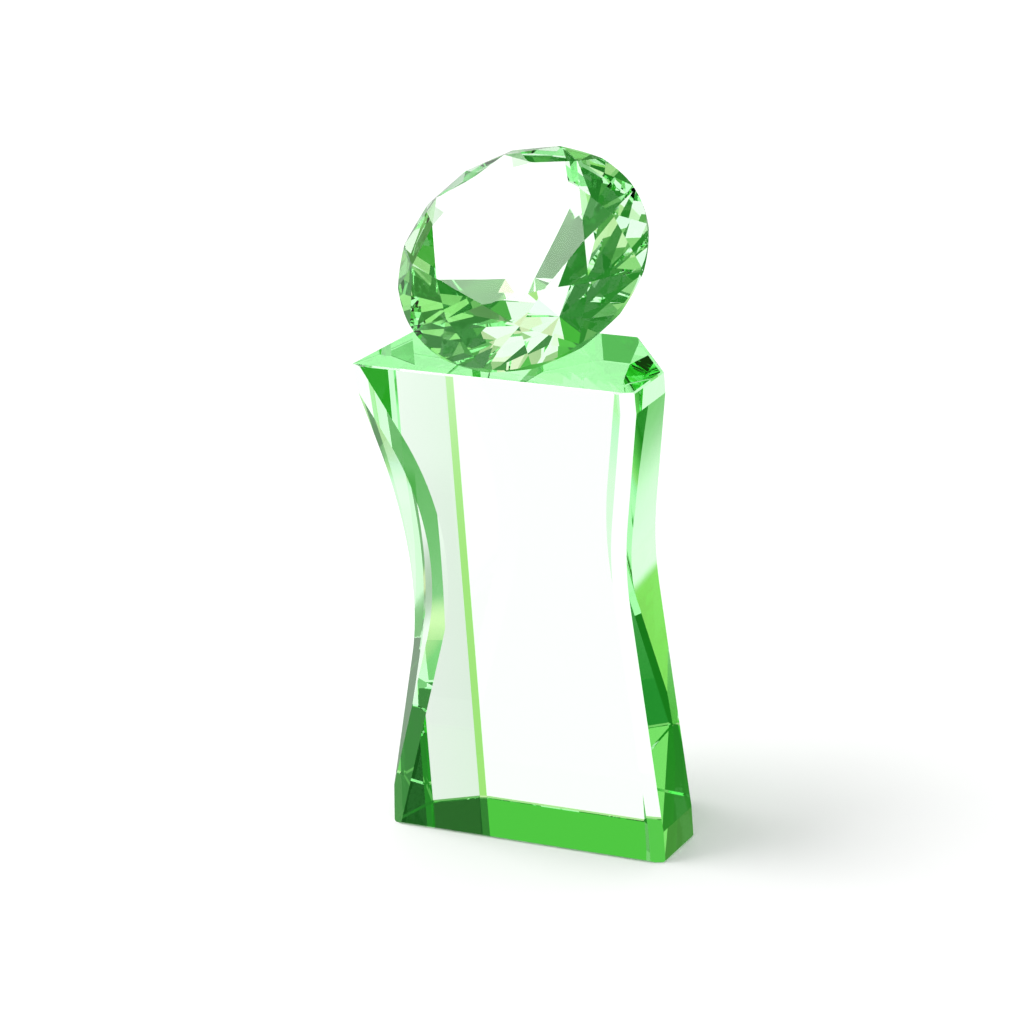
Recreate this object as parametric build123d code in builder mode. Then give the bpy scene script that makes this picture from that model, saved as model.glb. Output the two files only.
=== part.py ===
import os
from math import cos, radians, sin, tan

from build123d import *

# A crystal award: a waisted optical-glass column with a brilliant-cut crystal glued on its top.
# Millimetres, +Z up, the front faces -Y, and the origin is the middle of the base.

# column
column_width = 94.0        # front corner to front corner
column_depth = 44.0        # front face to back face
column_height = 156.5
right_side_depth = 20.0    # the right side runs this far back before its rear corner facet
right_side_flare = 1.6     # and widens by this much on the way
left_side_depth = 30.0
left_side_taper = 6.0
back_right = 29.5          # x of the back face's two upright edges
back_left = -27.0
rear_bevel_in = 1.3        # the left one has a narrow polished bevel, this far in along the back
rear_bevel_out = 1.0       # and this far out along the rear corner facet, in x and in y

# right side: a straight head and foot, and a shallow hollow between them
right_head = 7.0
right_foot = 10.5
right_waist_height = 100.0
right_waist_inset = 7.2
right_waist_radius = 127.0

# left side: a deeper hollow ground across the front corner, back and down
left_overshoot = 2.0       # the hollow's outline ends this far outside the side, at these heights
left_top = 157.0
left_bottom = -1.0
left_waist_height = 102.3
left_waist_inset = 29.9
left_waist_radius = 84.0
left_grind = (-0.824, 0.88, -0.8)

# polished bevels beside the front face's two long edges
right_bevel_width = 4.2
right_bevel_grind = (4.2, 1.6, 4.0)
left_bevel_width = 4.7
left_bevel_grind = (-6.9, 2.4, -2.0)
edge_bevel = 0.5           # round the top and the base

# brilliant-cut crystal, in its own axes: girdle in the middle, table up
girdle_radius = 40.0
girdle_half = 1.2
crown_height = 14.0
table_radius = 25.5        # to a corner of the eight-sided table
star_radius = 32.0         # where the star facets end
pavilion_angle = 38.0
lower_radius = 15.0        # where the lower girdle facets end
facet_count = 8

# where the crystal sits
seat_gap = 0.15            # thickness of the glue
crystal_x = -3.4
girdle_setback = 4.3       # the girdle's lowest point, behind the front face

front_y = -column_depth / 2
back_y = column_depth / 2
half_width = column_width / 2
reach = 3 * column_width   # longer than any cut through the column
pavilion_depth = girdle_radius * tan(radians(pavilion_angle)) + girdle_half
crystal_length = pavilion_depth + crown_height

os.makedirs("parts", exist_ok=True)


def side_outline(side_x, waist_x, waist_height, radius, head, foot):
    """A straight head, the hollow's line, arc and line, and a straight foot, closed far outside."""
    outer_x = side_x + (reach if side_x > waist_x else -reach)
    hollow = FilletPolyline(
        (side_x, head), (waist_x, waist_height), (side_x, foot), radius=radius
    )
    Polyline(
        hollow @ 1,
        (side_x, -reach),
        (outer_x, -reach),
        (outer_x, reach),
        (side_x, reach),
        hollow @ 0,
    )


def right_outline(inset):
    side_outline(
        half_width - inset,
        half_width - right_waist_inset - inset,
        right_waist_height,
        right_waist_radius,
        column_height - right_head,
        right_foot,
    )


def left_outline(inset):
    side_outline(
        -half_width - left_overshoot + inset,
        -half_width + left_waist_inset + inset,
        left_waist_height,
        left_waist_radius,
        left_top,
        left_bottom,
    )


def ring_point(radius, angle, height):
    return Vector(radius * cos(radians(angle)), radius * sin(radians(angle)), height)


def facet(first, second, third):
    """The plane through three points, its normal pointing away from the crystal's middle."""
    normal = (second - first).cross(third - first).normalized()
    if normal.dot(first) < 0:
        normal = -normal
    return Plane(origin=first, z_dir=normal)


# ---- column ----
# Each side is ground by an outline that travels in one direction, so every cut is a ruled surface.
# The sketches lie in the front face's plane, and a cut runs from there.
front_plane = Plane.XZ.offset(-front_y)
right_turn = Plane.XZ.offset(-front_y - right_side_depth)
right_grind = (right_side_flare, right_side_depth, 0)
corner_x = half_width + right_side_flare
corner_grind = (back_right - corner_x, column_depth - right_side_depth, 0)

with BuildPart() as column:
    with BuildSketch(Plane.XY):
        with BuildLine():
            Polyline(
                (-half_width, front_y),
                (half_width, front_y),
                (half_width + right_side_flare, front_y + right_side_depth),
                (back_right, back_y),
                (back_left + rear_bevel_in, back_y),
                (back_left - rear_bevel_out, back_y - rear_bevel_out),
                (-half_width + left_side_taper, front_y + left_side_depth),
                close=True,
            )
        make_face()
    extrude(amount=column_height)
    chamfer(column.edges().group_by(Axis.Z)[0], length=edge_bevel)
    chamfer(column.edges().group_by(Axis.Z)[-1], length=edge_bevel)

    # the right side: nearly straight back, then turning with the rear corner facet
    with BuildSketch(front_plane):
        with BuildLine():
            right_outline(0)
        make_face()
    extrude(amount=Vector(right_grind).length, dir=right_grind, mode=Mode.SUBTRACT)
    with BuildSketch(right_turn):
        with BuildLine():
            right_outline(-right_side_flare)
        make_face()
    extrude(amount=reach, dir=corner_grind, mode=Mode.SUBTRACT)

    # the left side: across the corner
    with BuildSketch(front_plane):
        with BuildLine():
            left_outline(0)
        make_face()
    extrude(amount=reach, dir=left_grind, mode=Mode.SUBTRACT)

    # the two front bevels
    with BuildSketch(front_plane):
        with BuildLine():
            right_outline(right_bevel_width)
        make_face()
    extrude(amount=reach, dir=right_bevel_grind, mode=Mode.SUBTRACT)
    with BuildSketch(front_plane):
        with BuildLine():
            left_outline(left_bevel_width)
        make_face()
    extrude(amount=reach, dir=left_bevel_grind, mode=Mode.SUBTRACT)

column.part.label = "column"
export_step(column.part, "parts/column.step")

# ---- crystal ----
# The crystal leans forward until one main pavilion facet lies flat along the column's top.
lean = radians(pavilion_angle)
lowest_rim = column_height + seat_gap
rim_reach = girdle_radius * cos(lean) - girdle_half * sin(lean)
rim_drop = girdle_radius * sin(lean) + girdle_half * cos(lean)
crystal_y = front_y + girdle_setback + rim_reach
crystal_plane = Plane(
    origin=(crystal_x, crystal_y, lowest_rim + rim_drop),
    x_dir=(1, 0, 0),
    z_dir=(0, -sin(lean), cos(lean)),
)

crown_slope = (crown_height - girdle_half) / (girdle_radius - table_radius)
pavilion_slope = tan(lean)
step = 360 / facet_count
half_step = step / 2
first_main = -90.0                # one main facet above the girdle, and one below, face the front
star_drop = crown_slope * (star_radius * cos(radians(half_step)) - table_radius)
star_height = crown_height - star_drop
lower_rise = pavilion_slope * lower_radius * cos(radians(half_step))
lower_height = -pavilion_depth + lower_rise
culet = Vector(0, 0, -pavilion_depth)

facets = []
for k in range(facet_count):
    main = first_main + k * step
    corner = ring_point(table_radius, main, crown_height)
    next_corner = ring_point(table_radius, main + step, crown_height)
    star_after = ring_point(star_radius, main + half_step, star_height)
    star_before = ring_point(star_radius, main - half_step, star_height)
    rim = ring_point(girdle_radius, main, girdle_half)
    rim_after = ring_point(girdle_radius, main + half_step, girdle_half)
    rim_before = ring_point(girdle_radius, main - half_step, girdle_half)
    facets.append(facet(rim, star_after, star_before))
    facets.append(facet(corner, next_corner, star_after))
    facets.append(facet(rim, rim_after, star_after))
    facets.append(facet(rim, rim_before, star_before))

    rim = ring_point(girdle_radius, main, -girdle_half)
    rim_after = ring_point(girdle_radius, main + half_step, -girdle_half)
    rim_before = ring_point(girdle_radius, main - half_step, -girdle_half)
    low_after = ring_point(lower_radius, main + half_step, lower_height)
    low_before = ring_point(lower_radius, main - half_step, lower_height)
    facets.append(facet(culet, low_after, low_before))
    facets.append(facet(rim, rim_after, low_after))
    facets.append(facet(rim, rim_before, low_before))

with BuildPart() as rough:
    with BuildSketch(Plane.XY.offset(-pavilion_depth)):
        Circle(girdle_radius)
    extrude(amount=crystal_length)
    for cut in facets:
        split(bisect_by=cut, keep=Keep.BOTTOM)

with BuildPart() as crystal:
    add(crystal_plane.location * rough.part)

crystal.part.label = "crystal"
export_step(crystal.part, "parts/crystal.step")

# ---- glue film ----
# It fills the gap under the kite-shaped facet, a little inside the facet and the column's edge.
film_margin = 0.92
film_setback = 2.0
culet_y = crystal_y + pavilion_depth * sin(lean)
film_back = back_y - film_setback
kite_length = girdle_radius / cos(lean)
kite_shoulder = lower_radius * cos(radians(half_step)) / cos(lean)
kite_half = lower_radius * sin(radians(half_step)) * film_margin
back_half = kite_half * (culet_y - film_back) / kite_shoulder
shoulder_y = culet_y - kite_shoulder
tip_y = culet_y - kite_length + film_setback

with BuildPart() as glue_film:
    with BuildSketch(Plane.XY.offset(column_height)):
        with BuildLine():
            Polyline(
                (crystal_x - back_half, film_back),
                (crystal_x - kite_half, shoulder_y),
                (crystal_x, tip_y),
                (crystal_x + kite_half, shoulder_y),
                (crystal_x + back_half, film_back),
                close=True,
            )
        make_face()
    extrude(amount=seat_gap)

glue_film.part.label = "glue_film"
export_step(glue_film.part, "parts/glue_film.step")
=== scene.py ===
import math

import bpy
from mathutils import Matrix, Vector


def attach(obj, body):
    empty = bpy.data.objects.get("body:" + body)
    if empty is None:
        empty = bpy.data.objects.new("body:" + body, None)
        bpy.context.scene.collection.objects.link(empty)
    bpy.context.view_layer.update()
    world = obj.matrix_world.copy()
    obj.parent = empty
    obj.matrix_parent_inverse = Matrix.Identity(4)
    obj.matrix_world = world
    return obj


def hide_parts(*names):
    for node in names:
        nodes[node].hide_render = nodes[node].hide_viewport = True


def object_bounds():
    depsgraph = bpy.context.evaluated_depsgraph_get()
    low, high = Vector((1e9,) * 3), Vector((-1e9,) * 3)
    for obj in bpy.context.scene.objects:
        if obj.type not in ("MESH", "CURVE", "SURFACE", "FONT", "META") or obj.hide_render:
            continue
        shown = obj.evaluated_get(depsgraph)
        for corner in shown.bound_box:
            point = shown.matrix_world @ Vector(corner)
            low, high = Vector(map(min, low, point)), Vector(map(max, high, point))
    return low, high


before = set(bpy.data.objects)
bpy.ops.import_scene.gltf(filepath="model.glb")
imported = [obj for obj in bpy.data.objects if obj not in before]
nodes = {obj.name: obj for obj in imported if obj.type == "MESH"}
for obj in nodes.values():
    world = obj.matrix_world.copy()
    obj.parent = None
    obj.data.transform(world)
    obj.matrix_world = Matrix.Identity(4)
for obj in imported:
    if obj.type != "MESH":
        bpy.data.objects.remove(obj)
cadLow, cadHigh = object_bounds()
print("frame loaded:", ", ".join(sorted(nodes)))

# Lengths are in metres and angles in degrees.


def joinNodes(tree, source, target):
    tree.links.new(source, target)


def newMaterial(name):
    material = bpy.data.materials.new(name)
    material.use_nodes = True
    tree = material.node_tree
    tree.nodes.clear()
    output = tree.nodes.new("ShaderNodeOutputMaterial")
    shader = tree.nodes.new("ShaderNodeBsdfPrincipled")
    joinNodes(tree, shader.outputs["BSDF"], output.inputs["Surface"])
    return material, tree, shader, output


def addNode(tree, kind, **values):
    node = tree.nodes.new(kind)
    for socket, value in values.items():
        node.inputs[socket.replace("_", " ")].default_value = value
    return node


def polishDetail(tree, shader, look):
    place = tree.nodes.new("ShaderNodeTexCoord")
    # the slow swell that a polishing wheel leaves
    swell = addNode(tree, "ShaderNodeTexNoise", Scale=look["swellScale"], Detail=1.0)
    joinNodes(tree, place.outputs["Object"], swell.inputs["Vector"])
    bump = addNode(tree, "ShaderNodeBump", Strength=1.0, Distance=look["swellDepth"])
    joinNodes(tree, swell.outputs["Fac"], bump.inputs["Height"])
    joinNodes(tree, bump.outputs["Normal"], shader.inputs["Normal"])
    # faint wiping marks, where the gloss drops a little
    smear = addNode(tree, "ShaderNodeTexNoise", Scale=look["smearScale"], Detail=4.0)
    joinNodes(tree, place.outputs["Object"], smear.inputs["Vector"])
    clean, wiped = look["roughness"]
    gloss = addNode(tree, "ShaderNodeMapRange", From_Min=0.45, From_Max=0.75, To_Min=clean, To_Max=wiped)
    joinNodes(tree, smear.outputs["Fac"], gloss.inputs["Value"])
    joinNodes(tree, gloss.outputs["Result"], shader.inputs["Roughness"])


def makeGlass(name, look):
    material, tree, shader, output = newMaterial(name)
    shader.inputs["Base Color"].default_value = (1, 1, 1, 1)
    shader.inputs["IOR"].default_value = look["ior"]
    shader.inputs["Transmission Weight"].default_value = 1.0
    polishDetail(tree, shader, look)
    # green on long paths, nearly clear on short ones
    depth = tree.nodes.new("ShaderNodeVolumeAbsorption")
    depth.inputs["Color"].default_value = (*look["tint"], 1)
    depth.inputs["Density"].default_value = look["density"]
    joinNodes(tree, depth.outputs["Volume"], output.inputs["Volume"])
    return material


def dress(node, material):
    mesh = nodes[node].data
    mesh.materials.clear()
    mesh.materials.append(material)


columnGlass = {
    "ior": 1.52,
    "tint": (0.0, 0.93, 0.05),
    "density": 4.6,
    "swellScale": 38.0,
    "swellDepth": 0.000012,
    "smearScale": 120.0,
    "roughness": (0.0, 0.012),  # clean and wiped
}
dress("column", makeGlass("greenCrystalColumn", columnGlass))

crystalGlass = {
    "ior": 1.56,
    "tint": (0.0, 0.93, 0.05),
    "density": 3.2,
    "swellScale": 30.0,
    "swellDepth": 0.000006,
    "smearScale": 140.0,
    "roughness": (0.0, 0.006),
}
dress("crystal", makeGlass("greenCrystalStone", crystalGlass))
print("column and crystal dressed")

glueLook = {
    "ior": 1.5,
    "gap": 0.5,  # share of its thickness left clear, so light meets each face in turn
    "shrink": 0.96,
    "tint": (0.6, 0.95, 0.6),
    "density": 1.0,
    "swellScale": 400.0,
    "swellDepth": 0.00001,
    "smearScale": 900.0,
    "roughness": (0.02, 0.09),
}


def makeGlue():
    source = nodes["glue_film"].data
    mesh = source.copy()
    points = [v.co.copy() for v in mesh.vertices]
    middle = sum(points, Vector()) / len(points)
    faces = sorted(source.polygons, key=lambda f: f.area)
    across = faces[-1].normal.copy()  # through the film
    for vertex in mesh.vertices:
        depth = (vertex.co - middle).dot(across)
        vertex.co -= across * depth * glueLook["gap"]
        vertex.co = middle + (vertex.co - middle) * glueLook["shrink"]
    film = bpy.data.objects.new("glueFilmSeen", mesh)
    bpy.context.scene.collection.objects.link(film)
    mesh.materials.clear()
    mesh.materials.append(makeGlass("clearGlue", glueLook))
    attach(film, "root")
    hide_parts("glue_film")


makeGlue()
print("glue film made")


floorLook = {
    "size": 30.0,
    "colour": (0.93, 0.93, 0.93, 1.0),
    "drop": 0.0002,  # below the base, so the two faces never share a plane
    "roughness": 0.8,
}


def makeFloor():
    half = floorLook["size"] / 2
    mesh = bpy.data.meshes.new("studioFloor")
    corners = [(-half, -half, 0), (half, -half, 0), (half, half, 0), (-half, half, 0)]
    mesh.from_pydata(corners, [], [(0, 1, 2, 3)])
    floor = bpy.data.objects.new("studioFloor", mesh)
    bpy.context.scene.collection.objects.link(floor)
    floor.location.z = cadLow.z - floorLook["drop"]
    material, tree, shader, output = newMaterial("paleFloor")
    shader.inputs["Base Color"].default_value = floorLook["colour"]
    shader.inputs["Roughness"].default_value = floorLook["roughness"]
    shader.inputs["Specular IOR Level"].default_value = 0.0
    mesh.materials.append(material)
    # the glass sees the studio light below it instead
    floor.visible_transmission = floor.visible_glossy = False


makeFloor()
print("floor laid")

studio = {
    "roomLight": 0.80,  # plain white, on the floor
    "backdrop": 1.10,  # plain white, behind the award
    "mirror": 0.45,  # how much of the studio the outside faces reflect
    "skyStops": (  # height of a direction's end, colour there
        (-0.985, (0.26, 0.66, 0.20)),  # painted shade with a green cast, standing in for the floor right under the base as the glass sees it
        (-0.90, (1.32, 1.32, 1.32)),
        (-0.13, (1.32, 1.32, 1.32)),
        (-0.06, (1.02, 1.16, 1.12)),  # a trace of blue and yellow, as cut glass splits light
        (0.00, (0.74, 0.93, 0.50)),
        (0.06, (0.36, 0.74, 0.27)),
        (0.17, (0.035, 0.27, 0.035)),
        (0.74, (0.026, 0.20, 0.030)),
        (0.85, (0.14, 0.50, 0.11)),
        (0.895, (1.05, 0.94, 0.74)),
        (0.93, (1.22, 1.24, 1.22)),  # the ceiling softbox
    ),
    "cards": (  # azimuth from behind the award, elevation, half width, soft edge, colour
        (-34, 28, 15, 5, (0.10, 0.62, 0.065)),
        (14, 27, 22, 5, (0.004, 0.075, 0.008)),
        (8, -27, 9, 6, (1.00, 0.95, 1.00)),
        (33, -18, 17, 4, (0.03, 0.38, 0.02)),
        (38, -28, 4, 3, (1.00, 1.10, 0.55)),
        (60, -40, 13, 5, (0.16, 0.64, 0.12)),
        (-12, -27, 6, 3, (0.46, 0.84, 0.24)),
        (120, 31, 12, 4, (0.42, 0.92, 0.30)),
        (120, -33, 9, 4, (0.035, 0.30, 0.055)),
        (180, -43, 7, 3, (0.10, 0.55, 0.07)),
        (-156, -24, 9, 4, (0.34, 0.66, 0.33)),
        (-132, -41, 8, 4, (0.45, 0.88, 0.22)),
        (-84, -40, 7, 3, (0.26, 0.78, 0.16)),
        (-116, 6, 13, 5, (0.34, 0.68, 0.29)),
    ),
}


def pointTo(azimuth, elevation):
    turn, rise = math.radians(azimuth), math.radians(elevation)
    return Vector((math.sin(turn) * math.cos(rise), math.cos(turn) * math.cos(rise), math.sin(rise)))


def addSky(tree, place):
    split = tree.nodes.new("ShaderNodeSeparateXYZ")
    joinNodes(tree, place.outputs["Generated"], split.inputs["Vector"])
    spread = addNode(tree, "ShaderNodeMapRange", From_Min=-1)
    joinNodes(tree, split.outputs["Z"], spread.inputs["Value"])
    sky = tree.nodes.new("ShaderNodeValToRGB")
    joinNodes(tree, spread.outputs["Result"], sky.inputs["Fac"])
    ramp = sky.color_ramp
    stops = studio["skyStops"]
    while len(ramp.elements) < len(stops):
        ramp.elements.new(0.5)
    for element, (height, colour) in zip(ramp.elements, stops):
        element.position = (height + 1) / 2
        element.color = (*colour, 1)
    return sky.outputs["Color"]


def addCard(tree, place, seen, card):
    azimuth, elevation, halfWidth, softEdge, colour = card
    facing = tree.nodes.new("ShaderNodeVectorMath")
    facing.operation = "DOT_PRODUCT"
    facing.inputs[1].default_value = pointTo(azimuth, elevation)
    joinNodes(tree, place.outputs["Generated"], facing.inputs[0])
    edge = tree.nodes.new("ShaderNodeMapRange")
    edge.interpolation_type = "SMOOTHSTEP"
    edge.inputs["From Min"].default_value = math.cos(math.radians(halfWidth + softEdge))
    edge.inputs["From Max"].default_value = math.cos(math.radians(halfWidth - softEdge))
    joinNodes(tree, facing.outputs["Value"], edge.inputs["Value"])
    mix = tree.nodes.new("ShaderNodeMix")
    mix.data_type = "RGBA"
    joinNodes(tree, edge.outputs["Result"], mix.inputs["Factor"])
    joinNodes(tree, seen, mix.inputs["A"])
    mix.inputs["B"].default_value = (*colour, 1)
    return mix.outputs["Result"]


def makeWorld():
    world = bpy.data.worlds.new("studioLight")
    bpy.context.scene.world = world
    world.use_nodes = True
    tree = world.node_tree
    tree.nodes.clear()
    place = tree.nodes.new("ShaderNodeTexCoord")
    seen = addSky(tree, place)
    for card in studio["cards"]:
        seen = addCard(tree, place, seen, card)
    # the glass sees sky and cards, all else plain white
    paths = tree.nodes.new("ShaderNodeLightPath")
    either = tree.nodes.new("ShaderNodeMath")
    either.operation = "MAXIMUM"
    joinNodes(tree, paths.outputs["Is Transmission Ray"], either.inputs[0])
    joinNodes(tree, paths.outputs["Is Glossy Ray"], either.inputs[1])
    choose = tree.nodes.new("ShaderNodeMix")
    choose.data_type = "RGBA"
    joinNodes(tree, either.outputs["Value"], choose.inputs["Factor"])
    dim = addNode(tree, "ShaderNodeMapRange", To_Min=1.0, To_Max=studio["mirror"])
    joinNodes(tree, paths.outputs["Is Reflection Ray"], dim.inputs["Value"])
    softened = tree.nodes.new("ShaderNodeVectorMath")
    softened.operation = "SCALE"
    joinNodes(tree, seen, softened.inputs["Vector"])
    joinNodes(tree, dim.outputs["Result"], softened.inputs["Scale"])
    room = addNode(tree, "ShaderNodeMapRange", To_Min=studio["roomLight"], To_Max=studio["backdrop"])
    joinNodes(tree, paths.outputs["Is Camera Ray"], room.inputs["Value"])
    joinNodes(tree, room.outputs["Result"], choose.inputs["A"])
    joinNodes(tree, softened.outputs["Vector"], choose.inputs["B"])
    light = tree.nodes.new("ShaderNodeBackground")
    output = tree.nodes.new("ShaderNodeOutputWorld")
    joinNodes(tree, choose.outputs["Result"], light.inputs["Color"])
    joinNodes(tree, light.outputs["Background"], output.inputs["Surface"])


makeWorld()

keyLight = {
    "from": (-0.60, -0.12, 1.0),
    "spread": 38,  # wide, for a soft shadow
    "power": 1.65,
}


def makeKeyLight():
    data = bpy.data.lights.new("keySoftbox", "SUN")
    data.energy = keyLight["power"]
    data.angle = math.radians(keyLight["spread"])
    light = bpy.data.objects.new("keySoftbox", data)
    bpy.context.scene.collection.objects.link(light)
    toAward = -Vector(keyLight["from"])
    light.rotation_euler = toAward.to_track_quat("-Z", "Y").to_euler()
    light.visible_camera = light.visible_transmission = False


makeKeyLight()
print("studio lit")

cameraSet = {
    "offset": (-0.0041, -0.0058, 0.1058),  # what it looks at, from the middle of the base
    "azimuth": 27.35,
    "elevation": 23.11,
    "distance": 1.375,
    "roll": 4.5,  # the camera is held a little askew
    "lens": 157.3,
    "sensor": 36.0,
    "clip": (0.05, 50),
}


def makeCamera():
    data = bpy.data.cameras.new("studioCamera")
    data.lens = cameraSet["lens"]
    data.sensor_width = cameraSet["sensor"]
    data.clip_start, data.clip_end = cameraSet["clip"]
    camera = bpy.data.objects.new("studioCamera", data)
    bpy.context.scene.collection.objects.link(camera)
    azimuth = math.radians(cameraSet["azimuth"])
    elevation = math.radians(cameraSet["elevation"])
    back = Vector((
        math.sin(azimuth) * math.cos(elevation),
        -math.cos(azimuth) * math.cos(elevation),
        math.sin(elevation),
    ))
    aim = Vector((0, 0, cadLow.z)) + Vector(cameraSet["offset"])
    forward = -back
    levelRight = forward.cross(Vector((0, 0, 1))).normalized()
    levelUp = levelRight.cross(forward)
    roll = math.radians(cameraSet["roll"])
    right = levelRight * math.cos(roll) - levelUp * math.sin(roll)
    up = levelRight * math.sin(roll) + levelUp * math.cos(roll)
    turn = Matrix((right, up, back)).transposed()
    place = aim + back * cameraSet["distance"]
    camera.matrix_world = Matrix.Translation(place) @ turn.to_4x4()
    bpy.context.scene.camera = camera


makeCamera()
print("camera set")

scene = bpy.context.scene
scene.view_settings.view_transform = "Standard"
scene.cycles.max_bounces = 40  # light turns many times inside cut glass
scene.cycles.transmission_bounces = 40
scene.cycles.glossy_bounces = 16
scene.cycles.use_denoising = True

print("scene ready")
